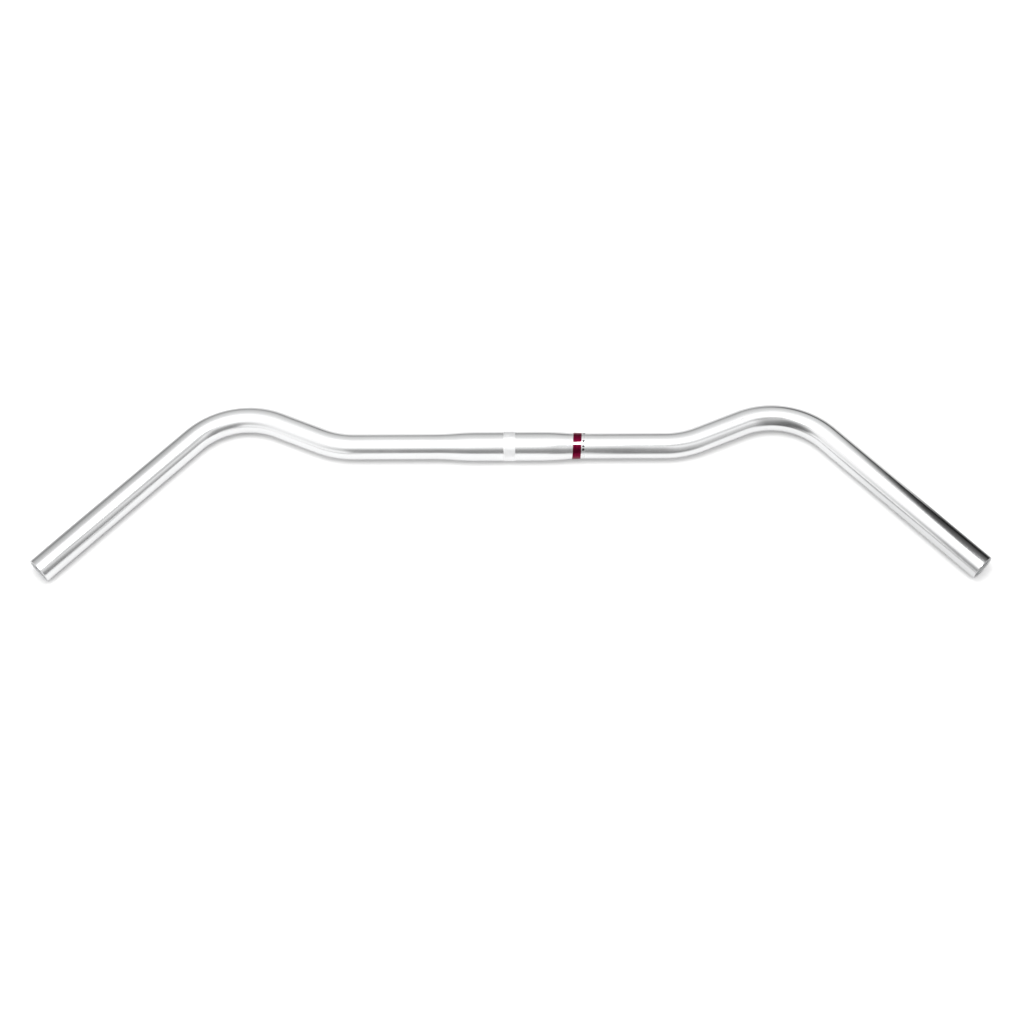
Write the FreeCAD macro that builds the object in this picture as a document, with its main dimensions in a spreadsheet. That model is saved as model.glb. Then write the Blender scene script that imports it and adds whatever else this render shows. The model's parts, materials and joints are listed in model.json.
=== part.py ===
import FreeCAD, Part

"""Swept-back handlebar for a stem clamp, as a parametric document.

The bar is one aluminium tube.  It is drawn to a single outside diameter, swelled at the
middle to fill the stem clamp, and bent twice on each side: a shallow bend forward, then a
long bend back to the grips.  All four bends lie in one plane, so the bar has no rise.
A printed film decal is wrapped round it beside the clamp.

Frame: origin on the tube's axis at the middle of the clamp land, +X to the right-hand
grip, +Y forward and away from the rider, +Z up.  Lengths are in millimetres.
"""
import math
import os

import Sketcher

Vector = FreeCAD.Vector

# Driving dimensions: alias, value and what it measures.  Angles are in degrees.
DIMENSIONS = (
    ("overall_width", 800.0, "outside corner of one grip end to the other"),
    ("tube_diameter", 22.2, "outside of the arms and grips"),
    ("clamp_diameter", 25.4, "outside of the swelled middle"),
    ("clamp_land", 56.0, "length of the parallel part of the swelled middle"),
    ("taper_length", 37.0, "clamp land to tube diameter, each side"),
    ("clamp_wall", 2.6, "wall under the clamp"),
    ("arm_wall", 2.0, "wall of the arms and grips"),
    ("first_bend_radius", 76.0, "centreline radius of the forward bend"),
    ("first_bend_angle", 23.0, "turn of the forward bend"),
    ("link_length", 40.0, "straight between the two bends"),
    ("second_bend_radius", 66.0, "centreline radius of the backward bend"),
    ("sweep_angle", 46.0, "grips, measured back from straight across"),
    ("grip_length", 172.0, "straight end of the tube"),
    ("end_chamfer", 0.4, "broken edges of both cut ends"),
    ("knurl_width", 10.4, "knurled band at the middle of the clamp land"),
    ("knurl_rise", 0.06, "height that knurling raises the surface"),
    ("decal_start", 53.6, "near edge of the decal from the middle of the bar"),
    ("decal_width", 11.0, "decal along the bar"),
    ("decal_thickness", 0.1, "printed film"),
    ("decal_wrap", 328.0, "share of the circle that the decal covers"),
    ("decal_turn", 51.5, "middle of the decal, from +Y towards +Z"),
)
SIZE = {alias: value for alias, value, _ in DIMENSIONS}

# Ends of an edge, and a sketch's own origin and upright axis, as constraints number them.
START, END, CENTRE = 1, 2, 3
ORIGIN = (-1, 1)
AXIS_Y = -2
SAME_POINT = 0.01


def make_sheet(doc):
    """The spreadsheet that every size is bound to."""
    sheet = doc.addObject("Spreadsheet::Sheet", "dims")
    for row, (alias, value, meaning) in enumerate(DIMENSIONS, start=1):
        sheet.set(f"A{row}", alias)
        sheet.set(f"B{row}", str(value))
        sheet.set(f"C{row}", meaning)
        sheet.setAlias(f"B{row}", alias)
    doc.recompute()
    return sheet


def origin_plane(body, role):
    """One of a body's own origin planes."""
    return next(feature for feature in body.Origin.OriginFeatures if feature.Role == role)


def new_sketch(body, name, role):
    """A sketch on one of the body's own origin planes."""
    sketch = body.newObject("Sketcher::SketchObject", name)
    sketch.AttachmentSupport = [(origin_plane(body, role), "")]
    sketch.MapMode = "FlatFace"
    return sketch


def constrain(sketch, kind, *where):
    """A geometric constraint."""
    return sketch.addConstraint(Sketcher.Constraint(kind, *where))


def measure(sketch, name, expression, kind, *where):
    """A named dimension that an expression drives."""
    size = sketch.evalExpression(expression)
    value = getattr(size, "Value", size)
    first_value = math.radians(value) if kind == "Angle" else value
    index = constrain(sketch, kind, *where, first_value)
    sketch.renameConstraint(index, name)
    sketch.setExpression(f"Constraints.{name}", expression)


def line(sketch, start, end, construction=False):
    """A straight edge between two (x, y) points."""
    return sketch.addGeometry(Part.LineSegment(Vector(*start, 0), Vector(*end, 0)), construction)


def arc(sketch, start, middle, end):
    """An arc through three (x, y) points."""
    points = (Vector(*point, 0) for point in (start, middle, end))
    return sketch.addGeometry(Part.Arc(*points), False)


def join(sketch, kind, first, second):
    """Joins two edges where they meet.  An arc may be stored from either of its ends."""
    def gap(ends):
        return sketch.getPoint(first, ends[0]).distanceToPoint(sketch.getPoint(second, ends[1]))

    near, far = min(((a, b) for a in (START, END) for b in (START, END)), key=gap)
    constrain(sketch, kind, first, near, second, far)


def arm_layout():
    """Points along the right arm's centreline: both ends of each stretch, the middle of each bend."""
    forward, sweep = math.radians(SIZE["first_bend_angle"]), math.radians(SIZE["sweep_angle"])
    half_first, half_second = forward / 2, (forward + sweep) / 2
    first_step = (SIZE["first_bend_radius"] * half_first, half_first)
    second_step = (SIZE["second_bend_radius"] * half_second, -half_second)
    link_step, grip_step = (SIZE["link_length"], 0), (SIZE["grip_length"], 0)

    x, y, heading = 0.0, 0.0, 0.0
    points = [(x, y)]
    for length, turn in (first_step, first_step, link_step, second_step, second_step, grip_step):
        chord = length * math.sin(turn / 2) / (turn / 2) if turn else length
        x += chord * math.cos(heading + turn / 2)
        y += chord * math.sin(heading + turn / 2)
        heading += turn
        points.append((x, y))

    rim_radius = SIZE["tube_diameter"] / 2 - SIZE["end_chamfer"]
    half_straight = SIZE["overall_width"] / 2 - rim_radius * math.sin(sweep) - x
    return [(half_straight + x, y) for x, y in points]


def arm_path(body):
    """Centreline of the right arm.  Its tangent chain also settles the straight middle."""
    path = new_sketch(body, "arm_path", "XY_Plane")
    bend_in, bend_mid, link_in, link_out, sweep_mid, grip_in, grip_out = arm_layout()
    middle = line(path, (0, 0), bend_in, construction=True)
    bend_one = arc(path, bend_in, bend_mid, link_in)
    link = line(path, link_in, link_out)
    bend_two = arc(path, link_out, sweep_mid, grip_in)
    grip = line(path, grip_in, grip_out)

    constrain(path, "Coincident", middle, START, *ORIGIN)
    constrain(path, "Horizontal", middle)
    chain = (middle, bend_one, link, bend_two, grip)
    for edge, following in zip(chain, chain[1:]):
        join(path, "Tangent", edge, following)

    measure(path, "first_radius", "dims.first_bend_radius", "Radius", bend_one)
    measure(path, "second_radius", "dims.second_bend_radius", "Radius", bend_two)
    measure(path, "link", "dims.link_length", "Distance", link)
    measure(path, "grip", "dims.grip_length", "Distance", grip)
    measure(path, "forward", "dims.first_bend_angle * 1deg", "Angle", link)
    measure(path, "sweep", "-dims.sweep_angle * 1deg", "Angle", grip)
    rim_radius = "(dims.tube_diameter / 2 - dims.end_chamfer)"
    half_reach = f"dims.overall_width / 2 - {rim_radius} * sin(dims.sweep_angle * 1deg)"
    measure(path, "half_reach", half_reach, "DistanceX", *ORIGIN, grip, END)

    straight = constrain(path, "DistanceX", *ORIGIN, middle, END, bend_in[0])
    path.setDriving(straight, False)
    path.renameConstraint(straight, "half_straight")
    return path


def ogee_points(high, low):
    """A taper from one radius to a lower one: its ends, its middle and two quarter points."""
    start, length, drop = SIZE["clamp_land"] / 2, SIZE["taper_length"], high - low
    falls = ((0, 0), (1 / 4, 1 / 8), (1 / 2, 1 / 2), (3 / 4, 7 / 8), (1, 1))
    return [(start + length * along, high - drop * fall) for along, fall in falls]


def clamp_profile(body):
    """Half section of the tube's wall from the middle of the clamp to the first bend."""
    wall = new_sketch(body, "clamp_profile", "XY_Plane")
    clamp_radius, arm_radius = SIZE["clamp_diameter"] / 2, SIZE["tube_diameter"] / 2
    clamp_bore, arm_bore = clamp_radius - SIZE["clamp_wall"], arm_radius - SIZE["arm_wall"]
    half_straight = arm_layout()[0][0]
    outer, inner = ogee_points(clamp_radius, arm_radius), ogee_points(clamp_bore, arm_bore)

    middle_cut = line(wall, (0, clamp_bore), (0, clamp_radius))
    land = line(wall, (0, clamp_radius), outer[0])
    shoulder = arc(wall, *outer[:3])
    foot = arc(wall, *outer[2:])
    outside = line(wall, outer[-1], (half_straight, arm_radius))
    joint = line(wall, (half_straight, arm_radius), (half_straight, arm_bore))
    bore = line(wall, (half_straight, arm_bore), inner[-1])
    bore_foot = arc(wall, *inner[2:])
    bore_shoulder = arc(wall, *inner[:3])
    bore_land = line(wall, inner[0], (0, clamp_bore))

    chain = (middle_cut, land, shoulder, foot, outside, joint, bore, bore_foot, bore_shoulder, bore_land)
    for edge, following in zip(chain, chain[1:] + chain[:1]):
        smooth = not {edge, following} & {middle_cut, joint}
        join(wall, "Tangent" if smooth else "Coincident", edge, following)
    for upright in (middle_cut, joint):
        constrain(wall, "Vertical", upright)
    for level in (land, outside, bore, bore_land):
        constrain(wall, "Horizontal", level)
    constrain(wall, "PointOnObject", middle_cut, START, AXIS_Y)
    constrain(wall, "Equal", shoulder, foot)
    constrain(wall, "Equal", bore_foot, bore_shoulder)
    constrain(wall, "Vertical", land, END, bore_land, START)
    constrain(wall, "Vertical", outside, START, bore, END)

    measure(wall, "clamp_radius", "dims.clamp_diameter / 2", "DistanceY", *ORIGIN, land, START)
    measure(wall, "clamp_wall", "dims.clamp_wall", "DistanceY", bore_land, END, land, START)
    measure(wall, "half_land", "dims.clamp_land / 2", "DistanceX", land, START, land, END)
    measure(wall, "taper", "dims.taper_length", "DistanceX", land, END, outside, START)
    measure(wall, "tube_radius", "dims.tube_diameter / 2", "DistanceY", *ORIGIN, outside, START)
    measure(wall, "arm_wall", "dims.arm_wall", "DistanceY", joint, END, joint, START)
    straight = "arm_path.Constraints.half_straight"
    measure(wall, "half_straight", straight, "DistanceX", *ORIGIN, outside, END)
    return wall


def arm_section(body):
    """The tube's ring section where the first bend begins."""
    ring = new_sketch(body, "arm_section", "YZ_Plane")
    ring.setExpression("AttachmentOffset.Base.z", "arm_path.Constraints.half_straight")
    outer_radius = SIZE["tube_diameter"] / 2
    for name, expression, radius in (
        ("outer_radius", "dims.tube_diameter / 2", outer_radius),
        ("bore_radius", "dims.tube_diameter / 2 - dims.arm_wall", outer_radius - SIZE["arm_wall"]),
    ):
        circle = ring.addGeometry(Part.Circle(Vector(0, 0, 0), Vector(0, 0, 1), radius), False)
        constrain(ring, "Coincident", circle, CENTRE, *ORIGIN)
        measure(ring, name, expression, "Radius", circle)
    return ring


def knurl_profile(body):
    """Section of the band that the knurling raises, rooted half way down the clamp's wall."""
    band = new_sketch(body, "knurl_profile", "XY_Plane")
    half_width = SIZE["knurl_width"] / 2
    low = (SIZE["clamp_diameter"] - SIZE["clamp_wall"]) / 2
    high = SIZE["clamp_diameter"] / 2 + SIZE["knurl_rise"]
    floor = line(band, (-half_width, low), (half_width, low))
    right_side = line(band, (half_width, low), (half_width, high))
    crest = line(band, (half_width, high), (-half_width, high))
    left_side = line(band, (-half_width, high), (-half_width, low))
    chain = (floor, right_side, crest, left_side)
    for edge, following in zip(chain, chain[1:] + chain[:1]):
        join(band, "Coincident", edge, following)
    constrain(band, "Horizontal", crest)
    for upright in (right_side, left_side):
        constrain(band, "Vertical", upright)
    constrain(band, "Symmetric", floor, START, floor, END, AXIS_Y)

    measure(band, "width", "dims.knurl_width", "DistanceX", floor, START, floor, END)
    crest_radius = "dims.clamp_diameter / 2 + dims.knurl_rise"
    measure(band, "crest_radius", crest_radius, "DistanceY", *ORIGIN, crest, START)
    root_radius = "(dims.clamp_diameter - dims.clamp_wall) / 2"
    measure(band, "root_radius", root_radius, "DistanceY", *ORIGIN, floor, START)
    return band


def revolve(body, name, profile, angle="360"):
    """A sketch turned about the bar's own axis."""
    turned = body.newObject("PartDesign::Revolution", name)
    turned.Profile = profile
    turned.ReferenceAxis = (profile, ["H_Axis"])
    turned.setExpression("Angle", angle)
    return turned


def make_tube(doc):
    """The bar itself: swelled middle, two bends a side and straight grips."""
    body = doc.addObject("PartDesign::Body", "handlebar_tube")
    path = arm_path(body)
    doc.recompute()

    middle = revolve(body, "half_middle", clamp_profile(body))
    doc.recompute()

    arm = body.newObject("PartDesign::AdditivePipe", "right_arm")
    arm.Profile = arm_section(body)
    arm.Spine = (path, ["Edge1", "Edge2", "Edge3", "Edge4"])
    doc.recompute()

    both = body.newObject("PartDesign::Mirrored", "both_sides")
    both.Originals = [middle, arm]
    both.MirrorPlane = (origin_plane(body, "YZ_Plane"), [""])
    body.Tip = both
    doc.recompute()

    knurl = revolve(body, "knurl_band", knurl_profile(body))
    doc.recompute()

    ends = body.newObject("PartDesign::Chamfer", "end_edges")
    ends.Base = (knurl, cut_end_edges(knurl.Shape))
    ends.setExpression("Size", "dims.end_chamfer")
    body.Tip = ends
    doc.recompute()
    return body


def cut_end_edges(shape):
    """Names of the round edges at the two cut ends of the tube."""
    tip_x, tip_y = arm_layout()[-1]
    tips = (Vector(tip_x, tip_y, 0), Vector(-tip_x, tip_y, 0))
    names = []
    for number, edge in enumerate(shape.Edges, start=1):
        if not isinstance(edge.Curve, Part.Circle):
            continue
        if min(edge.Curve.Center.distanceToPoint(tip) for tip in tips) < SAME_POINT:
            names.append(f"Edge{number}")
    return names


def foot_curve():
    """Radius of the taper's lower arc, and the (x, y) point that it is struck from."""
    step = (SIZE["clamp_diameter"] - SIZE["tube_diameter"]) / 2
    curve = (SIZE["taper_length"] ** 2 + step ** 2) / (4 * step)
    foot = SIZE["clamp_land"] / 2 + SIZE["taper_length"]
    return curve, (foot, SIZE["tube_diameter"] / 2 + curve)


def film_profile(body):
    """Section of the film, which follows the foot of the taper."""
    film = new_sketch(body, "film_profile", "XY_Plane")
    curve, (centre_x, centre_y) = foot_curve()
    near, width, thickness = SIZE["decal_start"], SIZE["decal_width"], SIZE["decal_thickness"]
    marks = (near, near + width / 2, near + width)

    def surface(radius):
        return [(x, centre_y - math.sqrt(radius ** 2 - (x - centre_x) ** 2)) for x in marks]

    lower, upper = surface(curve), surface(curve - thickness)
    under = arc(film, *lower)
    over = arc(film, *upper)
    near_edge = line(film, lower[0], upper[0])
    far_edge = line(film, lower[-1], upper[-1])
    for edge in (near_edge, far_edge):
        constrain(film, "Vertical", edge)
        join(film, "Coincident", edge, under)
        join(film, "Coincident", edge, over)
    constrain(film, "Coincident", under, CENTRE, over, CENTRE)

    measure(film, "near", "dims.decal_start", "DistanceX", *ORIGIN, near_edge, START)
    measure(film, "width", "dims.decal_width", "DistanceX", near_edge, START, far_edge, START)
    foot = "dims.clamp_land / 2 + dims.taper_length"
    measure(film, "taper_foot", foot, "DistanceX", *ORIGIN, under, CENTRE)
    # The taper is an S of two equal arcs, `taper_length` long and `step` high.
    step = "(dims.clamp_diameter - dims.tube_diameter) / 2"
    radius = f"(dims.taper_length ^ 2 + ({step}) ^ 2) / (4 * ({step}))"
    measure(film, "taper_radius", radius, "Radius", under)
    measure(film, "film_radius", f"{radius} - dims.decal_thickness", "Radius", over)
    axis_height = f"dims.tube_diameter / 2 + {radius}"
    measure(film, "taper_centre", axis_height, "DistanceY", *ORIGIN, under, CENTRE)
    return film


def make_decal(doc, sheet):
    """The printed film, wrapped most of the way round the bar beside the clamp."""
    body = doc.addObject("PartDesign::Body", "decal_film")
    wrapped = revolve(body, "wrapped_film", film_profile(body), "dims.decal_wrap * 1deg")
    wrapped.Midplane = True
    body.Tip = wrapped
    turn = FreeCAD.Rotation(Vector(1, 0, 0), sheet.decal_turn)
    body.Placement = FreeCAD.Placement(Vector(0, 0, 0), turn)
    doc.recompute()
    return body


def check(doc, bodies):
    """Stops on any failed object, or a sub-part that isn't one valid solid."""
    for thing in doc.Objects:
        if {"Invalid", "Error"} & set(thing.State):
            raise RuntimeError(f"{thing.Name} failed to build: {thing.State}")
    for body in bodies:
        shape = body.Shape
        if shape.isNull() or not shape.isValid() or len(shape.Solids) != 1:
            raise RuntimeError(f"{body.Label} is not one valid solid")


def main():
    doc = FreeCAD.newDocument("handlebar")
    sheet = make_sheet(doc)
    bodies = [make_tube(doc), make_decal(doc, sheet)]
    doc.recompute()
    check(doc, bodies)
    os.makedirs("parts", exist_ok=True)
    for body in bodies:
        shape, box = body.Shape, body.Shape.optimalBoundingBox(False)
        shape.exportStep(f"parts/{body.Label}.step")
        size = f"{box.XLength:.2f} x {box.YLength:.2f} x {box.ZLength:.2f} mm"
        print(f"{body.Label}: {size}, {shape.Volume:.0f} mm3, {len(shape.Faces)} faces")


main()
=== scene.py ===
"""The finished look of a swept-back handlebar: a mirror-polished tube, its knurled clamp band
and the printed decal beside it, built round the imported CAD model.  Lengths are in metres.
"""
import json
import math

import bpy
from mathutils import Matrix, Vector


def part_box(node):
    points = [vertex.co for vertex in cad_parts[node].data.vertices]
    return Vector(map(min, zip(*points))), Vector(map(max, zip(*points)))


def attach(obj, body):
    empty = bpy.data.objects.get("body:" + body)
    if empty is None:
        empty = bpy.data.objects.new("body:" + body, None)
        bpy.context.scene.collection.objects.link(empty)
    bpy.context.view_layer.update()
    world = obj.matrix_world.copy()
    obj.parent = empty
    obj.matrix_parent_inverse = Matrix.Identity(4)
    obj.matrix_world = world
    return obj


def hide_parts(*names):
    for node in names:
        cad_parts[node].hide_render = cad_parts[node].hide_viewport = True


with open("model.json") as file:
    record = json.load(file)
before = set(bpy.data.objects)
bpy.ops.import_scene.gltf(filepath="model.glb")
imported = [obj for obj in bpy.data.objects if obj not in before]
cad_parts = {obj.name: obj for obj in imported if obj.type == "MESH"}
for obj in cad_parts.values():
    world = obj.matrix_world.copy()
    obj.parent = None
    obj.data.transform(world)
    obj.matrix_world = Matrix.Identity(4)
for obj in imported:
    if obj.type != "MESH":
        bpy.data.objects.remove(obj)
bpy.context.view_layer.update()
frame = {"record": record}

MM = 0.001
TUBE_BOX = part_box("handlebar_tube")
SEATS = {mount["name"]: mount["dims"] for mount in frame["record"]["mounts"]}

# Sizes that the frame gives.
TUBE_RADIUS = SEATS["grip_right"]["r_mm"] * MM
CLAMP_RADIUS = SEATS["stem_clamp"]["r_mm"] * MM
CLAMP_LAND = SEATS["stem_clamp"]["length_mm"] * MM
BORE_RADIUS = SEATS["bar_end_right"]["r_mm"] * MM
OVERALL_WIDTH = TUBE_BOX[1].x - TUBE_BOX[0].x
CREST_RADIUS = TUBE_BOX[1].z

# The bar's own driving dimensions.
TAPER_LENGTH = 37 * MM
CLAMP_WALL = 2.6 * MM
FIRST_BEND_RADIUS = 76 * MM
FIRST_BEND_ANGLE = math.radians(23)
LINK_LENGTH = 40 * MM
SECOND_BEND_RADIUS = 66 * MM
SWEEP_ANGLE = math.radians(46)
GRIP_LENGTH = 172 * MM
END_CHAMFER = 0.4 * MM

# How finely the tube is meshed: faces round it and along it, and steps of its taper and centreline.
TUBE_SIDES = 112
STRAIGHT_SPACING = 6 * MM
BEND_SPACING = 1.6 * MM
TAPER_STEPS = 20
CENTRELINE_STEP = math.radians(0.5)
# No ring of faces comes nearer to the bar's end than this, but for those of its broken edge.
END_MARGIN = 1 * MM
# Edges sharper than this stay sharp in the shading.
CREASE_ANGLE = math.radians(30)

# Knurling: rows of small diamonds pressed into the middle of the clamp land.
KNURL_WIDTH = 10.4 * MM
KNURL_DEPTH = 0.08 * MM
KNURL_TEETH = 78
# How much of a tooth's width its flat crest keeps, and how much of its height is sunk at its foot.
KNURL_CREST = 0.22
KNURL_SINK = 0.25

# Decal, measured along the bar and round it from the top towards the front.
DECAL_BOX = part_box("decal_film")
DECAL_START = DECAL_BOX[0].x
DECAL_WIDTH = DECAL_BOX[1].x - DECAL_BOX[0].x
DECAL_THICKNESS = 0.1 * MM
DECAL_WRAP = math.radians(328)
DECAL_MIDDLE = math.radians(38.5)
PANEL_START = 54.5 * MM
PANEL_WIDTH = 7.1 * MM
PANEL_ARC = math.radians(100)
PANEL_PITCH = math.radians(111.5)
PANEL_COUNT = 3
FIRST_PANEL = math.radians(-123)
MARK_START = 62.5 * MM
MARK_WIDTH = 1.8 * MM
# Middle and length of each black mark, in degrees round the bar.
MARKS = (
    (-44.7, 10.0), (-29.8, 7.0), (-7.3, 9.0), (40.7, 8.0), (66.8, 10.0), (81.7, 7.0), (104.2, 9.0),
    (178.3, 10.0))
INK_THICKNESS = 0.02 * MM
# The print climbs a little round the bar.
PRINT_SLANT = math.tan(math.radians(2.5))
# How finely film and ink are meshed: faces along the bar, and the turn of each face round it.
SHEET_COLUMNS = 8
SHEET_STEP = math.radians(3)


def place_object(name, data):
    """An object at the origin, in the scene."""
    made = bpy.data.objects.new(name, data)
    bpy.context.scene.collection.objects.link(made)
    return made


# ---------------------------------------------------------------- node trees

def add_node(tree, kind, inputs=(), **settings):
    """A node with its settings made and its inputs set, or linked where the value is a socket."""
    node = tree.nodes.new(kind)
    for name, value in settings.items():
        setattr(node, name, value)
    for key, value in dict(inputs).items():
        if isinstance(value, bpy.types.NodeSocket):
            tree.links.new(value, node.inputs[key])
        else:
            node.inputs[key].default_value = value
    return node


def new_group(kind, name, inputs, outputs):
    """An empty node group with named sockets, and its input and output nodes."""
    tree = bpy.data.node_groups.new(name, kind)
    for side, sockets in (("INPUT", inputs), ("OUTPUT", outputs)):
        for socket_name, socket_kind in sockets:
            tree.interface.new_socket(socket_name, in_out=side, socket_type=socket_kind)
    return tree, tree.nodes.new("NodeGroupInput"), tree.nodes.new("NodeGroupOutput")


def maths(tree, operation, *values):
    """The result of a Math node."""
    return add_node(tree, "ShaderNodeMath", dict(enumerate(values)), operation=operation).outputs[0]


def vector_maths(tree, operation, *values):
    """The vector that a Vector Math node gives."""
    node = add_node(tree, "ShaderNodeVectorMath", dict(enumerate(values)), operation=operation)
    return node.outputs["Vector"]


def product(tree, first, *others):
    """Several values multiplied together."""
    for other in others:
        first = maths(tree, "MULTIPLY", first, other)
    return first


def ramp(tree, value, low, high, out_low=0.0, out_high=1.0, smooth=True):
    """A value carried from one range to another and held inside it."""
    inputs = {"Value": value, "From Min": low, "From Max": high,
              "To Min": out_low, "To Max": out_high}
    kind = "SMOOTHSTEP" if smooth else "LINEAR"
    return add_node(tree, "ShaderNodeMapRange", inputs, interpolation_type=kind).outputs["Result"]


def fade(tree, value, full, end):
    """1 up to `full`, then down to 0 at `end`."""
    return ramp(tree, value, full, end, 1.0, 0.0)


def hump(tree, value, begin, full, ebb, end):
    """0 up to `begin`, 1 from `full` to `ebb`, and 0 again from `end`."""
    return product(tree, ramp(tree, value, begin, full), fade(tree, value, ebb, end))


def mix(tree, factor, first, second):
    """A number between two others."""
    return add_node(tree, "ShaderNodeMix", {0: factor, 2: first, 3: second}).outputs[0]


def height_curve(tree, height, points):
    """Brightness against height, through points joined smoothly."""
    node = add_node(tree, "ShaderNodeFloatCurve", {"Value": height})
    curve = node.mapping.curves[0]
    curve.points[0].location, curve.points[1].location = points[0], points[-1]
    for place in points[1:-1]:
        curve.points.new(*place)
    node.mapping.clip_max_y = 2.0
    node.mapping.update()
    return node.outputs[0]


def grey(tree, shade):
    """A number as a grey colour."""
    return add_node(tree, "ShaderNodeCombineColor", {0: shade, 1: shade, 2: shade}).outputs[0]


def object_coordinates(tree):
    """Where a point lies on the finished object."""
    return tree.nodes.new("ShaderNodeTexCoord").outputs["Object"]


def blank_coordinates(tree):
    """Where a point lay on the straight tube before it was bent."""
    stored = add_node(tree, "ShaderNodeAttribute", attribute_name="on_straight_blank")
    return stored.outputs["Vector"]


def empty_material(name):
    """A material with an empty node tree."""
    made = bpy.data.materials.new(name)
    made.use_nodes = True
    made.node_tree.nodes.clear()
    return made, made.node_tree


# ------------------------------------------------------------------ surfaces

# What part of a noise's range counts: of the patches alone, and of lines and patches together.
PATCH_RANGE = (0.3, 0.7)
MIXED_RANGE = (0.35, 0.65)
# Height of the lines in the metal's bump, and how much the clear film hides.
LINE_RELIEF = 0.02 * MM
FILM_ALPHA = (0.02, 0.05)


def streaks_group():
    """Fine parallel lines with slow unevenness, for polished, drawn and turned metal.  Its scales
    are how often the lines change in a metre along the bar and round it, and the patches."""
    tree, given, result = new_group(
        "ShaderNodeTree", "machining_streaks",
        (("Vector", "NodeSocketVector"), ("Along Bar", "NodeSocketFloat"),
         ("Round Bar", "NodeSocketFloat"), ("Patch Scale", "NodeSocketFloat")),
        (("Lines", "NodeSocketFloat"), ("Patches", "NodeSocketFloat")),
    )
    parts = add_node(tree, "ShaderNodeSeparateXYZ", {0: given.outputs["Vector"]})
    stretched = add_node(tree, "ShaderNodeCombineXYZ", {
        "X": maths(tree, "MULTIPLY", parts.outputs["X"], given.outputs["Along Bar"]),
        "Y": maths(tree, "MULTIPLY", parts.outputs["Y"], given.outputs["Round Bar"]),
        "Z": maths(tree, "MULTIPLY", parts.outputs["Z"], given.outputs["Round Bar"]),
    })
    lines = add_node(tree, "ShaderNodeTexNoise", {
        "Vector": stretched.outputs[0], "Scale": 1.0, "Detail": 3.0, "Roughness": 0.65})
    patches = add_node(tree, "ShaderNodeTexNoise", {
        "Vector": given.outputs["Vector"], "Scale": given.outputs["Patch Scale"], "Detail": 4.0,
        "Roughness": 0.55})
    tree.links.new(lines.outputs[0], result.inputs["Lines"])
    tree.links.new(patches.outputs[0], result.inputs["Patches"])
    return tree


STREAKS = streaks_group()


def new_material(name, **constants):
    """A material with one Principled BSDF, and its plain numbers set on the shader itself."""
    made, tree = empty_material(name)
    shader = add_node(tree, "ShaderNodeBsdfPrincipled",
                      {key.replace("_", " "): value for key, value in constants.items()})
    add_node(tree, "ShaderNodeOutputMaterial", {"Surface": shader.outputs[0]})
    return made, tree, shader


def place_streaks(tree, vector, along_bar, round_bar, patch_scale):
    """The streaks group in a material, with its own scales."""
    scales = {"Along Bar": along_bar, "Round Bar": round_bar, "Patch Scale": patch_scale}
    node = add_node(tree, "ShaderNodeGroup", {"Vector": vector, **scales}, node_tree=STREAKS)
    return node.outputs["Lines"], node.outputs["Patches"]


def mottle(tree, shader, patches, low, high):
    """Base colour that drifts between two tones with the patches."""
    tones = {0: ramp(tree, patches, *PATCH_RANGE), 6: (*low, 1), 7: (*high, 1)}
    shade = add_node(tree, "ShaderNodeMix", tones, data_type="RGBA")
    tree.links.new(shade.outputs[2], shader.inputs["Base Color"])


def metal(name, vector_of, tone, roughness, along_bar, round_bar, patch_scale, bump, metallic=1.0):
    """Bare aluminium.  `tone` and `roughness` are (low, high) pairs: its patches run between the
    two tones, and its lines and patches together between the two roughnesses."""
    made, tree, shader = new_material(name, Metallic=metallic)
    lines, patches = place_streaks(tree, vector_of(tree), along_bar, round_bar, patch_scale)
    mottle(tree, shader, patches, *tone)
    mixed = maths(tree, "MULTIPLY_ADD", lines, 0.5, maths(tree, "MULTIPLY", patches, 0.5))
    tree.links.new(ramp(tree, mixed, *MIXED_RANGE, *roughness), shader.inputs["Roughness"])
    relief = add_node(tree, "ShaderNodeBump", {
        "Height": lines, "Strength": bump, "Distance": LINE_RELIEF})
    tree.links.new(relief.outputs[0], shader.inputs["Normal"])
    return made


POLISHED = metal(
    "polished_aluminium", blank_coordinates, tone=((0.90, 0.905, 0.91), (0.93, 0.935, 0.94)),
    roughness=(0.13, 0.21), along_bar=2200.0, round_bar=60.0, patch_scale=25.0, bump=0.06)
CUT_END = metal(
    "faced_aluminium", blank_coordinates, tone=((0.78, 0.785, 0.79), (0.86, 0.865, 0.87)),
    roughness=(0.22, 0.38), along_bar=300.0, round_bar=2400.0, patch_scale=300.0, bump=0.3)
DRAWN_BORE = metal(
    "drawn_bore", blank_coordinates, tone=((0.80, 0.805, 0.81), (0.88, 0.885, 0.89)),
    roughness=(0.55, 0.75), along_bar=40.0, round_bar=900.0, patch_scale=90.0, bump=0.5)
KNURLED = metal(
    "knurled_aluminium", object_coordinates, tone=((0.95, 0.955, 0.96), (0.98, 0.985, 0.99)),
    roughness=(0.34, 0.46), along_bar=900.0, round_bar=900.0, patch_scale=300.0, bump=0.15,
    metallic=0.85)


def ink(name, deep, fresh, **constants):
    """Printing ink with faint mottling."""
    made, tree, shader = new_material(name, **constants)
    _, patches = place_streaks(tree, object_coordinates(tree), along_bar=800.0, round_bar=800.0,
                               patch_scale=900.0)
    mottle(tree, shader, patches, deep, fresh)
    return made


CRIMSON = ink("crimson_ink", deep=(0.14, 0.002, 0.022), fresh=(0.22, 0.006, 0.042),
              Metallic=1.0, Roughness=0.26)
BLACK = ink("black_ink", deep=(0.004, 0.004, 0.005), fresh=(0.010, 0.010, 0.011),
            Specular_IOR_Level=0.2, Roughness=0.45)


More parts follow.
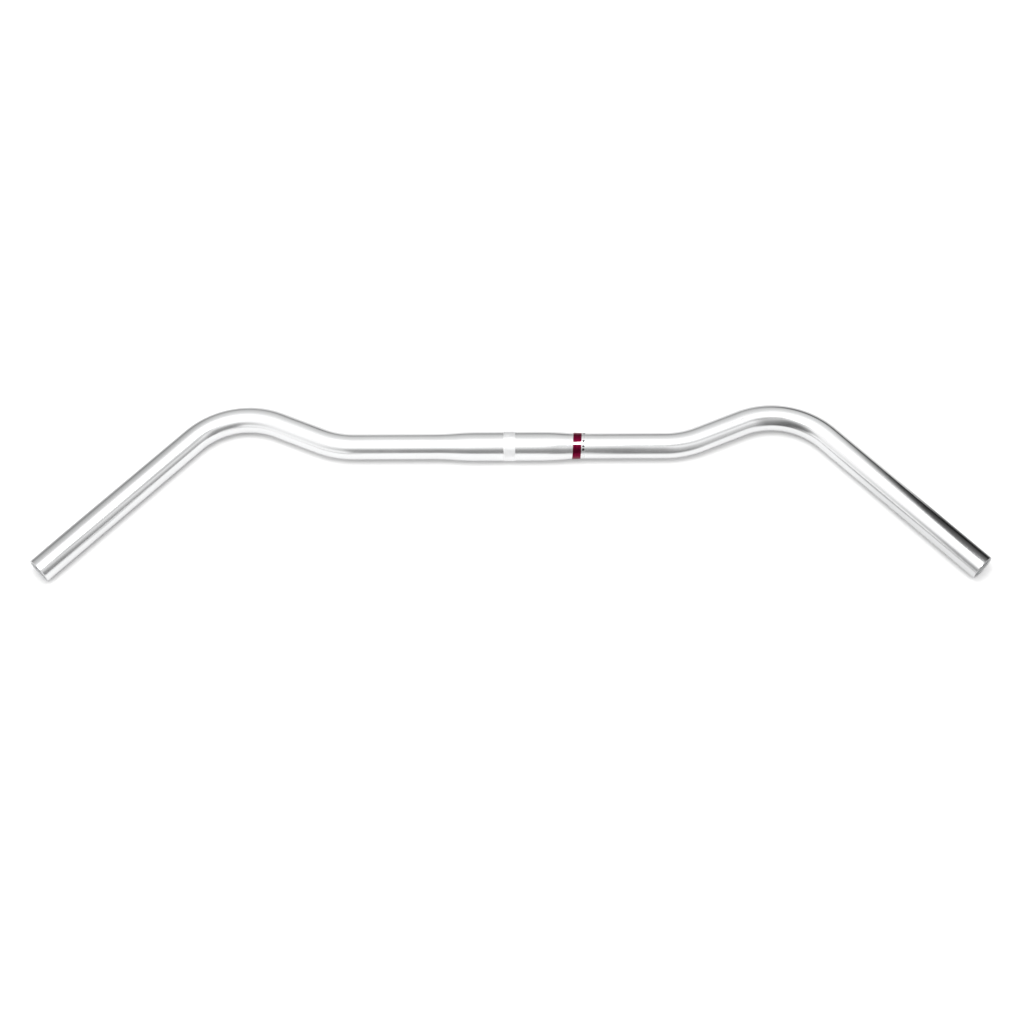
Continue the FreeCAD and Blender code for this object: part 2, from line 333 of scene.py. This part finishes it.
def clear_film():
    """Clear carrier film, hardly seen but for its gloss."""
    made, tree, shader = new_material("clear_film", Base_Color=(0.9, 0.9, 0.9, 1), Roughness=0.08)
    _, patches = place_streaks(tree, object_coordinates(tree), along_bar=300.0, round_bar=300.0,
                               patch_scale=200.0)
    tree.links.new(ramp(tree, patches, *PATCH_RANGE, *FILM_ALPHA), shader.inputs["Alpha"])
    return made


FILM = clear_film()


# ------------------------------------------------------------------ the tube

def taper_drop(distance, half_land, total_drop):
    """How far the surface has dropped from the clamp land: an S of two equal arcs."""
    along = min(max(distance - half_land, 0.0), TAPER_LENGTH)
    curve = (TAPER_LENGTH ** 2 + total_drop ** 2) / (4 * total_drop)
    if along <= TAPER_LENGTH / 2:
        return curve - math.sqrt(curve ** 2 - along ** 2)
    return total_drop - curve + math.sqrt(curve ** 2 - (TAPER_LENGTH - along) ** 2)


def outside(x):
    """Outside radius at a distance x along the bar from its middle."""
    return CLAMP_RADIUS - taper_drop(abs(x), CLAMP_LAND / 2, CLAMP_RADIUS - TUBE_RADIUS)


def bore(x):
    """Bore radius at a distance x along the bar from its middle."""
    widest = CLAMP_RADIUS - CLAMP_WALL
    return widest - taper_drop(abs(x), CLAMP_LAND / 2, widest - BORE_RADIUS)


def half_straight():
    """Middle of the bar to its first bend, from the width that the CAD model has."""
    reach = FIRST_BEND_RADIUS * math.sin(FIRST_BEND_ANGLE)
    reach += LINK_LENGTH * math.cos(FIRST_BEND_ANGLE)
    reach += SECOND_BEND_RADIUS * (math.sin(FIRST_BEND_ANGLE) + math.sin(SWEEP_ANGLE))
    reach += GRIP_LENGTH * math.cos(SWEEP_ANGLE)
    return OVERALL_WIDTH / 2 - (TUBE_RADIUS - END_CHAMFER) * math.sin(SWEEP_ANGLE) - reach


HALF_STRAIGHT = half_straight()
# Right half of the centreline: length of each stretch and how far it turns, forward positive.
STRETCHES = (
    (HALF_STRAIGHT, 0.0),
    (FIRST_BEND_RADIUS * FIRST_BEND_ANGLE, FIRST_BEND_ANGLE),
    (LINK_LENGTH, 0.0),
    (SECOND_BEND_RADIUS * (FIRST_BEND_ANGLE + SWEEP_ANGLE), -FIRST_BEND_ANGLE - SWEEP_ANGLE),
    (GRIP_LENGTH, 0.0),
)
HALF_LENGTH = sum(length for length, _ in STRETCHES)


def stations(spacing_straight, spacing_bend):
    """Distances along the right half of the bar, closer together where it bends."""
    marks, start = [0.0], 0.0
    for length, turn in STRETCHES:
        count = math.ceil(length / (spacing_bend if turn else spacing_straight))
        marks += [start + length * step / count for step in range(1, count + 1)]
        start += length
    return marks


def centreline():
    """The bent bar's centreline, as a poly curve from the left end to the right."""
    half, point, heading = [Vector()], Vector(), 0.0
    for length, turn in STRETCHES:
        count = math.ceil(abs(turn) / CENTRELINE_STEP) or 1
        for _ in range(count):
            step, bend = length / count, turn / count
            chord = step * (math.sin(bend / 2) / (bend / 2) if bend else 1.0)
            along = heading + bend / 2
            point = point + chord * Vector((math.cos(along), math.sin(along), 0))
            heading += bend
            half.append(point)
    points = [Vector((-p.x, p.y, 0)) for p in reversed(half[1:])] + half
    data = bpy.data.curves.new("centreline", "CURVE")
    data.dimensions = "3D"
    spline = data.splines.new("POLY")
    spline.points.add(len(points) - 1)
    for held, p in zip(spline.points, points):
        held.co = (*p, 1)
    return place_object("centreline", data)


# Zones of the tube's surface, kept on its faces for the tree that gives them materials.
SKIN, CUT, INSIDE = 0, 1, 2


def wall_outline():
    """The wall's closed outline on the blank: (distance along, radius, zone of the next face)."""
    last = HALF_LENGTH - END_MARGIN
    marks = {x for x in stations(STRAIGHT_SPACING, BEND_SPACING) if x < last}
    taper = [CLAMP_LAND / 2 + TAPER_LENGTH * step / TAPER_STEPS for step in range(TAPER_STEPS + 1)]
    marks = sorted({x for x in marks if not taper[0] <= x <= taper[-1]} | set(taper))
    edge, trough = KNURL_WIDTH / 2, CREST_RADIUS - KNURL_DEPTH
    right = [(edge, trough), (edge, CLAMP_RADIUS)] + [(x, outside(x)) for x in marks if x > edge]
    right.append((HALF_LENGTH - END_CHAMFER, TUBE_RADIUS))
    left = [(-x, r) for x, r in reversed(right)]
    inner = [(x, bore(x)) for x in marks] + [(HALF_LENGTH - END_CHAMFER, BORE_RADIUS)]
    inner = inner[:0:-1] + [(-x, r) for x, r in inner]
    rim_right = [(HALF_LENGTH, TUBE_RADIUS - END_CHAMFER), (HALF_LENGTH, BORE_RADIUS + END_CHAMFER)]
    rim_left = [(-x, r) for x, r in reversed(rim_right)]
    outline = [(x, r, SKIN) for x, r in left + right]
    outline[-1] = (*outline[-1][:2], CUT)
    outline += [(x, r, CUT) for x, r in rim_right] + [(x, r, INSIDE) for x, r in inner]
    outline[-1] = (*outline[-1][:2], CUT)
    return outline + [(x, r, CUT) for x, r in rim_left]


def straight_blank(sides):
    """The tube as it is before bending: its wall outline turned about the X axis."""
    outline = wall_outline()
    verts, faces, zones = [], [], []
    for x, radius, _ in outline:
        for side in range(sides):
            angle = math.tau * side / sides
            verts.append((x, radius * math.sin(angle), radius * math.cos(angle)))
    for row, (_, _, zone) in enumerate(outline):
        here, there = row * sides, (row + 1) % len(outline) * sides
        for side in range(sides):
            after = (side + 1) % sides
            faces.append((here + side, there + side, there + after, here + after))
            zones.append(zone)
    data = bpy.data.meshes.new("handlebar_skin")
    data.from_pydata(verts, [], faces)
    data.attributes.new("zone", "INT", "FACE").data.foreach_set("value", zones)
    return data


def bending_tree():
    """Geometry nodes that bend a straight blank to a centreline and give its zones their finish."""
    tree, given, result = new_group(
        "GeometryNodeTree", "bend_to_centreline",
        (("Geometry", "NodeSocketGeometry"), ("Centreline", "NodeSocketObject"),
         ("Half Length", "NodeSocketFloat"), ("Skin", "NodeSocketMaterial"),
         ("Cut End", "NodeSocketMaterial"), ("Bore", "NodeSocketMaterial")),
        (("Geometry", "NodeSocketGeometry"),),
    )
    curve = add_node(tree, "GeometryNodeObjectInfo", {"Object": given.outputs["Centreline"]})
    place = tree.nodes.new("GeometryNodeInputPosition").outputs[0]
    marked = add_node(tree, "GeometryNodeStoreNamedAttribute",
                      {"Geometry": given.outputs["Geometry"], "Name": "on_straight_blank",
                       "Value": place}, data_type="FLOAT_VECTOR", domain="POINT")
    parts = add_node(tree, "ShaderNodeSeparateXYZ", {0: place})
    reach = maths(tree, "ADD", parts.outputs["X"], given.outputs["Half Length"])
    sample = add_node(tree, "GeometryNodeSampleCurve",
                      {"Curves": curve.outputs["Geometry"], "Length": reach},
                      mode="LENGTH", use_all_curves=True)
    upright = add_node(tree, "ShaderNodeCombineXYZ", {"Z": 1.0}).outputs[0]
    sideways = vector_maths(tree, "CROSS_PRODUCT", upright, sample.outputs["Tangent"])
    sideways = vector_maths(tree, "NORMALIZE", sideways)
    out = add_node(tree, "ShaderNodeVectorMath", {0: sideways, "Scale": parts.outputs["Y"]},
                   operation="SCALE")
    lift = add_node(tree, "ShaderNodeCombineXYZ", {"Z": parts.outputs["Z"]}).outputs[0]
    bent = vector_maths(tree, "ADD", sample.outputs["Position"], out.outputs[0])
    bent = vector_maths(tree, "ADD", bent, lift)
    moved = add_node(tree, "GeometryNodeSetPosition",
                     {"Geometry": marked.outputs[0], "Position": bent})
    solid = add_node(tree, "GeometryNodeRealizeInstances", {"Geometry": moved.outputs[0]})
    zone = add_node(tree, "GeometryNodeInputNamedAttribute", {"Name": "zone"}, data_type="INT")
    shape = solid.outputs[0]
    for number, finish in ((SKIN, "Skin"), (CUT, "Cut End"), (INSIDE, "Bore")):
        chosen = add_node(tree, "FunctionNodeCompare", {2: zone.outputs[0], 3: number},
                          data_type="INT", operation="EQUAL")
        given_to = add_node(tree, "GeometryNodeSetMaterial", {
            "Geometry": shape, "Selection": chosen.outputs[0], "Material": given.outputs[finish]})
        shape = given_to.outputs[0]
    tree.links.new(shape, result.inputs["Geometry"])
    return tree


def run_tree(name, data, tree, values):
    """Runs a geometry node tree on a mesh and returns the result as a plain mesh object."""
    worked = place_object(name, data)
    modifier = worked.modifiers.new(tree.name, "NODES")
    modifier.node_group = tree
    sockets = {item.name: item.identifier
               for item in tree.interface.items_tree if item.in_out == "INPUT"}
    for socket_name, value in values.items():
        modifier[sockets[socket_name]] = value
    worked.update_tag()
    evaluated = worked.evaluated_get(bpy.context.evaluated_depsgraph_get())
    finished = bpy.data.meshes.new_from_object(evaluated)
    worked.modifiers.remove(modifier)
    worked.data = finished
    finished.name = name
    return worked


def handlebar_skin():
    """The whole tube, outside, bore and cut ends, as one closed skin."""
    route = centreline()
    made = run_tree("handlebar_skin", straight_blank(TUBE_SIDES), bending_tree(), {
        "Centreline": route, "Half Length": HALF_LENGTH,
        "Skin": POLISHED, "Cut End": CUT_END, "Bore": DRAWN_BORE})
    bpy.data.objects.remove(route)
    made.data.shade_smooth()
    made.data.set_sharp_from_angle(angle=CREASE_ANGLE)
    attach(made, "root")
    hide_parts("handlebar_tube")


# --------------------------------------------------------------- the knurling

def tooth_tree():
    """Geometry nodes that set a tooth at every point of the staggered rows round the bar."""
    tree, given, result = new_group(
        "GeometryNodeTree", "knurl_rows",
        (("Geometry", "NodeSocketGeometry"), ("Teeth", "NodeSocketInt"), ("Rows", "NodeSocketInt"),
         ("Width", "NodeSocketFloat"), ("Root Radius", "NodeSocketFloat"),
         ("Finish", "NodeSocketMaterial")),
        (("Geometry", "NodeSocketGeometry"),),
    )
    count = maths(tree, "MULTIPLY", given.outputs["Teeth"], given.outputs["Rows"])
    points = add_node(tree, "GeometryNodePoints", {"Count": count})
    index = tree.nodes.new("GeometryNodeInputIndex").outputs[0]
    row = maths(tree, "FLOOR", maths(tree, "DIVIDE", index, given.outputs["Teeth"]))
    share = maths(tree, "DIVIDE", row, maths(tree, "SUBTRACT", given.outputs["Rows"], 1))
    x = maths(tree, "MULTIPLY", maths(tree, "SUBTRACT", share, 0.5), given.outputs["Width"])
    stagger = maths(tree, "MULTIPLY", maths(tree, "MODULO", row, 2), 0.5)
    turns = maths(tree, "DIVIDE", maths(tree, "ADD", index, stagger), given.outputs["Teeth"])
    angle = maths(tree, "MULTIPLY", turns, math.tau)
    root = given.outputs["Root Radius"]
    place = add_node(tree, "ShaderNodeCombineXYZ", {
        "X": x, "Y": maths(tree, "MULTIPLY", maths(tree, "SINE", angle), root),
        "Z": maths(tree, "MULTIPLY", maths(tree, "COSINE", angle), root)})
    spread = add_node(tree, "GeometryNodeSetPosition",
                      {"Geometry": points.outputs[0], "Position": place.outputs[0]})
    turn = add_node(tree, "ShaderNodeCombineXYZ", {"X": maths(tree, "MULTIPLY", angle, -1.0)})
    teeth = add_node(tree, "GeometryNodeInstanceOnPoints", {
        "Points": spread.outputs[0], "Instance": given.outputs["Geometry"],
        "Rotation": turn.outputs[0]})
    solid = add_node(tree, "GeometryNodeRealizeInstances", {"Geometry": teeth.outputs[0]})
    coated = add_node(tree, "GeometryNodeSetMaterial",
                      {"Geometry": solid.outputs[0], "Material": given.outputs["Finish"]})
    tree.links.new(coated.outputs[0], result.inputs["Geometry"])
    return tree


def knurl_tooth(half_across, half_round, height):
    """One four-sided diamond tooth with a small flat crest, sunk a little at its foot."""
    crest, sunk = KNURL_CREST, -KNURL_SINK * height
    corners = ((1, 0), (0, 1), (-1, 0), (0, -1))
    foot = [(half_across * a, half_round * b, sunk) for a, b in corners]
    edge = [(half_across * a, half_round * b, 0.0) for a, b in corners]
    top = [(half_across * crest * a, half_round * crest * b, height) for a, b in corners]
    faces = [(3, 2, 1, 0), (8, 9, 10, 11)]
    for low, high in ((0, 4), (4, 8)):
        for k in range(4):
            after = (k + 1) % 4
            faces.append((low + k, low + after, high + after, high + k))
    data = bpy.data.meshes.new("knurl_tooth")
    data.from_pydata(foot + edge + top, [], faces)
    return data


def knurl_band():
    """All the teeth of the clamp's knurled band."""
    pitch = math.tau * CREST_RADIUS / KNURL_TEETH
    rows = 2 * round(KNURL_WIDTH / pitch) - 1
    width = KNURL_WIDTH * (rows - 1) / (rows + 1)
    tooth = knurl_tooth(KNURL_WIDTH / (rows + 1), pitch / 2, KNURL_DEPTH)
    made = run_tree("knurl_teeth", tooth, tooth_tree(), {
        "Teeth": KNURL_TEETH, "Rows": rows, "Width": width,
        "Root Radius": CREST_RADIUS - KNURL_DEPTH, "Finish": KNURLED})
    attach(made, "root")


# ------------------------------------------------------------------ the decal

def wrapped_sheet(name, start, width, low_turn, high_turn, bottom, top, finish, slant=0.0):
    """A thin closed sheet that follows the tube, between two heights above its surface."""
    columns = SHEET_COLUMNS
    around = max(2, math.ceil((high_turn - low_turn) / SHEET_STEP))
    verts, faces = [], []
    for height in (bottom, top):
        for i in range(around + 1):
            turn = low_turn + (high_turn - low_turn) * i / around
            for j in range(columns + 1):
                x = start + width * j / columns + slant * turn * TUBE_RADIUS
                r = outside(x) + height
                verts.append((x, r * math.sin(turn), r * math.cos(turn)))
    row, sheet = columns + 1, (columns + 1) * (around + 1)
    for i in range(around):
        for j in range(columns):
            a = i * row + j
            faces.append((a, a + row, a + row + 1, a + 1))
            faces.append((sheet + a, sheet + a + 1, sheet + a + row + 1, sheet + a + row))
    rim = list(range(columns)) + [i * row + columns for i in range(around)]
    rim += [around * row + j for j in range(columns, 0, -1)]
    rim += [i * row for i in range(around, 0, -1)]
    for a, b in zip(rim, rim[1:] + rim[:1]):
        faces.append((a, b, sheet + b, sheet + a))
    data = bpy.data.meshes.new(name)
    data.from_pydata(verts, [], faces)
    data.materials.append(finish)
    data.shade_smooth()
    data.set_sharp_from_angle(angle=CREASE_ANGLE)
    made = place_object(name, data)
    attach(made, "root")
    return made


def decal():
    """Clear film with three crimson panels and a column of small black register marks."""
    film = wrapped_sheet("decal_carrier", DECAL_START, DECAL_WIDTH, DECAL_MIDDLE - DECAL_WRAP / 2,
                         DECAL_MIDDLE + DECAL_WRAP / 2, 0.0, DECAL_THICKNESS, FILM)
    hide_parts("decal_film")
    ink_low, ink_high = DECAL_THICKNESS - INK_THICKNESS, DECAL_THICKNESS + INK_THICKNESS
    for number in range(PANEL_COUNT):
        low = FIRST_PANEL + number * PANEL_PITCH
        wrapped_sheet(f"crimson_panel_{number + 1}", PANEL_START, PANEL_WIDTH, low, low + PANEL_ARC,
                      ink_low, ink_high, CRIMSON, PRINT_SLANT)
    for number, (middle, arc) in enumerate(MARKS):
        low, high = math.radians(middle - arc / 2), math.radians(middle + arc / 2)
        wrapped_sheet(f"register_mark_{number + 1}", MARK_START, MARK_WIDTH, low, high,
                      ink_low, ink_high, BLACK, PRINT_SLANT)


# ----------------------------------------------------------------- the studio

# How white the table is: for the light that it sends on, in the metal, and seen directly.
TABLE_SHADE, TABLE_MIRRORED, TABLE_SEEN = 0.3, 0.77, 1.12
# How far it reaches each way from its middle.
TABLE_REACH = 6.0
# In the metal it dims ahead of the bar, between two distances with a brightness at each.  Further
# to the side than TABLE_SIDE it dims sooner, by SIDE_LEAD for each metre.
TABLE_DIMMING = (0.02, 0.22, 1.06, 0.58)
TABLE_SIDE, SIDE_LEAD = 0.25, 0.8

# Painted shadows on the table, seen only in the metal as soft darker patches.  Directions are in
# degrees from +X towards +Y.  Each has a direction with the distances along it where it begins, is
# full, ebbs and ends, then a direction with the distances where it begins and is full, and its
# depth.
TABLE_SHADOW_PATCHES = (
    ((0, 0.03, 0.11, 0.22, 0.32), (-90, 0.03, 0.10), 0.70),
    ((0, 0.14, 0.24, 0.60, 0.80), (-90, 0.12, 0.26), 0.50),
    ((0, -0.33, -0.27, -0.17, -0.13), (-90, 0.085, 0.105), 0.35),
    ((0, 0.27, 0.32, 0.42, 0.50), (-90, -0.01, 0.04), 0.13),
    ((0, -1.10, -1.00, -0.42, -0.30), (90, -0.10, -0.05), 0.45),
    ((-46, 0.24, 0.29, 1.0, 1.1), (44, 0.20, 0.28), 0.86),
)

# Brightness of the room against the sine of the height above the horizon, ahead and behind.
FAR_SKY = (
    (0.0, 0.22), (0.09, 0.34), (0.17, 0.43), (0.26, 0.50), (0.42, 0.62), (0.57, 0.70), (0.71, 0.78),
    (0.82, 0.92), (0.91, 1.12), (1.0, 1.35))
NEAR_SKY = (
    (0.0, 1.02), (0.26, 1.0), (0.57, 1.02), (0.71, 1.08), (0.82, 1.12), (0.91, 1.15), (1.0, 1.35))
# The direction that is behind, and the cosines between which one brightness gives way to the other.
BEHIND, BEHIND_RANGE = (-0.35, -0.94), (0.0, 0.3)

# The room's dimmer patches: where each begins, is full, ebbs and ends, in degrees to the right of
# straight ahead, the heights between which it fades, and its depth.
ROOM_PATCHES = (
    (-2, 18, 75, 95, 0.12, 0.40, 0.85),
    (35, 50, 75, 95, 0.3, 0.7, 0.35),
    (-85, -65, -32, -18, 0.82, 0.93, 0.22),
)

# The round lamp overhead: where it hangs, its width and its power in watts.
LAMP_PLACE, LAMP_SIZE, LAMP_ENERGY = (-0.08, -0.09, 1.05), 0.58, 4.6

# Height of each upright flag.
NEAR_TOP, RIGHT_TOP, BEND_TOP = 1.4, 3.0, 0.12
# What passes the duller right of the near flag, and the right flag, against height up to the top.
RIGHT_HAZE = (
    (0.0, 0.33), (0.032, 0.35), (0.057, 0.45), (0.136, 0.51), (0.18, 0.59), (0.23, 0.70),
    (0.31, 0.84), (0.43, 0.88), (0.49, 0.81), (0.56, 0.62), (0.64, 0.52), (0.75, 0.60), (1.0, 0.70))
RIGHT_FLAG = (
    (0.0, 0.05), (0.067, 0.06), (0.133, 0.10), (0.20, 0.13), (0.30, 0.17), (0.40, 0.23),
    (0.55, 0.36), (0.75, 0.60), (1.0, 1.0))

# The camera: its azimuth, elevation and roll in degrees, the point that it looks at, its distance
# from there, and its lens in millimetres.
CAMERA_AZIMUTH, CAMERA_ELEVATION, CAMERA_ROLL = 1.717, 63.245, -1.751
LOOK_AT, CAMERA_DISTANCE, CAMERA_LENS = (2.30 * MM, -63.278 * MM, 0), 1.599, 66.62


def distance_along(tree, x, y, turn):
    """How far a point of the table lies along a direction `turn` degrees from +X towards +Y."""
    along = maths(tree, "MULTIPLY", x, math.cos(math.radians(turn)))
    return maths(tree, "MULTIPLY_ADD", y, math.sin(math.radians(turn)), along)


def floor_material():
    """White table.  Its shade is plain for the light that it sends on, and whiter where it is seen.
    In the metal it dims ahead of the bar, and painted shadows darken it in a few soft patches."""
    made, tree = empty_material("studio_table")
    place = add_node(tree, "ShaderNodeSeparateXYZ", {0: object_coordinates(tree)})
    x, y = place.outputs["X"], place.outputs["Y"]
    aside = maths(tree, "SUBTRACT", maths(tree, "ABSOLUTE", x), TABLE_SIDE)
    aside = maths(tree, "MAXIMUM", aside, 0.0)
    ahead = maths(tree, "MULTIPLY_ADD", aside, SIDE_LEAD, y)
    sheet = ramp(tree, ahead, *TABLE_DIMMING, smooth=False)
    # Painted shadows: each soft patch darkens the table where the metal mirrors it.
    for (turn, *stops), (other_turn, *rise), depth in TABLE_SHADOW_PATCHES:
        painted_shadow = product(tree, hump(tree, distance_along(tree, x, y, turn), *stops),
                        ramp(tree, distance_along(tree, x, y, other_turn), *rise, 0.0, depth))
        sheet = product(tree, sheet, maths(tree, "SUBTRACT", 1.0, painted_shadow))
    rays = tree.nodes.new("ShaderNodeLightPath").outputs
    mirrored = maths(tree, "MAXIMUM", rays["Is Glossy Ray"], rays["Is Transmission Ray"])
    mirrored = product(tree, mirrored, maths(tree, "LESS_THAN", rays["Diffuse Depth"], 0.5))
    shade = mix(tree, mirrored, TABLE_SHADE, product(tree, sheet, TABLE_MIRRORED))
    shade = mix(tree, rays["Is Camera Ray"], shade, TABLE_SEEN)
    matt = add_node(tree, "ShaderNodeBsdfDiffuse", {"Color": grey(tree, shade)})
    add_node(tree, "ShaderNodeOutputMaterial", {"Surface": matt.outputs[0]})
    return made


def plain_quad(name, corners, finish):
    """A flat stage piece."""
    data = bpy.data.meshes.new(name)
    data.from_pydata(corners, [], [(0, 1, 2, 3)])
    data.materials.append(finish)
    made = place_object(name, data)
    return made


def studio_floor():
    """The table, level with the underside of the tube."""
    low, half = TUBE_BOX[0].z, TABLE_REACH
    corners = [(-half, -half, low), (half, -half, low), (half, half, low), (-half, half, low)]
    plain_quad("studio_table", corners, floor_material())


def studio_world():
    """A soft white room, dim towards the horizon ahead and bright behind.  The camera sees it
    white."""
    world = bpy.data.worlds.new("studio")
    world.use_nodes = True
    tree = world.node_tree
    tree.nodes.clear()
    direction = tree.nodes.new("ShaderNodeTexCoord").outputs["Generated"]
    parts = add_node(tree, "ShaderNodeSeparateXYZ", {0: direction})
    x, y, height = (parts.outputs[name] for name in "XYZ")
    behind = maths(tree, "ADD", product(tree, x, BEHIND[0]), product(tree, y, BEHIND[1]))
    level = maths(tree, "SQRT", maths(tree, "ADD", product(tree, x, x), product(tree, y, y)))
    behind = maths(tree, "DIVIDE", behind, maths(tree, "MAXIMUM", level, 0.001))
    sky = mix(tree, ramp(tree, behind, *BEHIND_RANGE), height_curve(tree, height, FAR_SKY),
              height_curve(tree, height, NEAR_SKY))
    turn = maths(tree, "ARCTAN2", x, y)
    for *stops, fade_low, fade_high, depth in ROOM_PATCHES:
        mask = product(tree, hump(tree, turn, *(math.radians(stop) for stop in stops)),
                       fade(tree, height, fade_low, fade_high))
        sky = product(tree, sky, maths(tree, "MULTIPLY_ADD", mask, -depth, 1.0))
    rays = tree.nodes.new("ShaderNodeLightPath")
    strength = maths(tree, "MAXIMUM", sky, rays.outputs["Is Camera Ray"])
    backdrop = add_node(tree, "ShaderNodeBackground", {"Color": (1, 1, 1, 1), "Strength": strength})
    add_node(tree, "ShaderNodeOutputWorld", {"Surface": backdrop.outputs[0]})
    bpy.context.scene.world = world


def overhead_lamp():
    """A round soft lamp above the middle of the bar, so that shadows lean outwards at its ends."""
    data = bpy.data.lights.new("overhead_lamp", "AREA")
    data.shape, data.size, data.energy = "DISK", LAMP_SIZE, LAMP_ENERGY
    lamp = place_object("overhead_lamp", data)
    lamp.location = LAMP_PLACE


def flag(name, foot_from, foot_to, top, shade_of):
    """An upright sheet that dims what the metal mirrors through it, and nothing else."""
    made, tree = empty_material(name)
    place = add_node(tree, "ShaderNodeSeparateXYZ", {0: object_coordinates(tree)})
    shade = shade_of(tree, place.outputs["X"], place.outputs["Z"])
    passed = add_node(tree, "ShaderNodeBsdfTransparent", {"Color": grey(tree, shade)})
    add_node(tree, "ShaderNodeOutputMaterial", {"Surface": passed.outputs[0]})
    low = TUBE_BOX[0].z
    corners = [(*foot_from, low), (*foot_to, low), (*foot_to, top), (*foot_from, top)]
    sheet = plain_quad(name, corners, made)
    for kind in ("camera", "diffuse", "transmission", "volume_scatter", "shadow"):
        setattr(sheet, f"visible_{kind}", False)


def near_shade(tree, x, z):
    """A dark column near the middle, the duller right and a ledge that runs off to the left."""
    foot = maths(tree, "MAXIMUM", ramp(tree, z, -0.01, 0.06), ramp(tree, x, -0.02, 0.10))
    head = mix(tree, ramp(tree, x, -0.10, 0.12),
               fade(tree, z, 0.20, 0.68), fade(tree, z, 0.16, 1.00))
    lean = maths(tree, "MULTIPLY_ADD", z, 0.12, x)
    column = product(tree, ramp(tree, lean, -0.27, -0.14, 0.0, 0.71),
                     fade(tree, x, 0.09, 0.31), head, foot)
    haze = height_curve(tree, maths(tree, "DIVIDE", z, NEAR_TOP), RIGHT_HAZE)
    to_the_right = product(tree, ramp(tree, x, 0.04, 0.24), ramp(tree, x, 0.35, 0.60, 1.0, 0.8))
    dull = mix(tree, to_the_right, 1.0, haze)
    ledge = product(tree, ramp(tree, x, -0.62, -0.24, 0.10, 0.42), fade(tree, x, -0.26, -0.16),
                    ramp(tree, z, 0.09, 0.24), fade(tree, z, 0.28, 0.62))
    return product(tree, maths(tree, "SUBTRACT", 1.0, column), dull,
                   maths(tree, "SUBTRACT", 1.0, ledge))


def right_shade(tree, x, z):
    """Nearly black, thinner towards its top and its ends, and lower to the right."""
    z = product(tree, z, ramp(tree, x, 0.50, 0.60, 1.0, 4.0))
    dark = height_curve(tree, maths(tree, "DIVIDE", z, RIGHT_TOP), RIGHT_FLAG)
    return mix(tree, hump(tree, x, 0.41, 0.51, 0.66, 0.80), 1.0, dark)


def bend_shade(tree, x, z):
    """A low, small shade on the inner side of the right bend, which darkens the bend alone."""
    depth = ramp(tree, z, 0.022, 0.045, 0.46, 0.08)
    hidden = product(tree, hump(tree, x, 0.213, 0.225, 0.241, 0.249), depth,
                     ramp(tree, z, -0.001, 0.004), fade(tree, z, 0.07, BEND_TOP))
    return maths(tree, "SUBTRACT", 1.0, hidden)


def studio_camera():
    """A long lens above the rider's side of the bar, looking steeply down."""
    data = bpy.data.cameras.new("studio_camera")
    data.lens = CAMERA_LENS
    camera = place_object("studio_camera", data)
    tilt = math.pi / 2 - math.radians(CAMERA_ELEVATION)
    turned = (Matrix.Rotation(math.radians(CAMERA_AZIMUTH), 4, "Z") @ Matrix.Rotation(tilt, 4, "X")
              @ Matrix.Rotation(math.radians(CAMERA_ROLL), 4, "Z"))
    eye = Vector(LOOK_AT) + turned.to_3x3() @ Vector((0, 0, CAMERA_DISTANCE))
    camera.matrix_world = Matrix.Translation(eye) @ turned
    bpy.context.scene.camera = camera


handlebar_skin()
knurl_band()
decal()
studio_floor()
studio_world()
overhead_lamp()
flag("near_flag", foot_from=(-1.4, -0.5), foot_to=(1.4, -0.5), top=NEAR_TOP, shade_of=near_shade)
flag("right_flag", foot_from=(0.40, 0.269), foot_to=(0.80, -0.0174), top=RIGHT_TOP,
     shade_of=right_shade)
flag("bend_flag", foot_from=(0.213, 0.0101), foot_to=(0.249, -0.0019), top=BEND_TOP,
     shade_of=bend_shade)
studio_camera()
bpy.context.scene.view_settings.view_transform = "Standard"
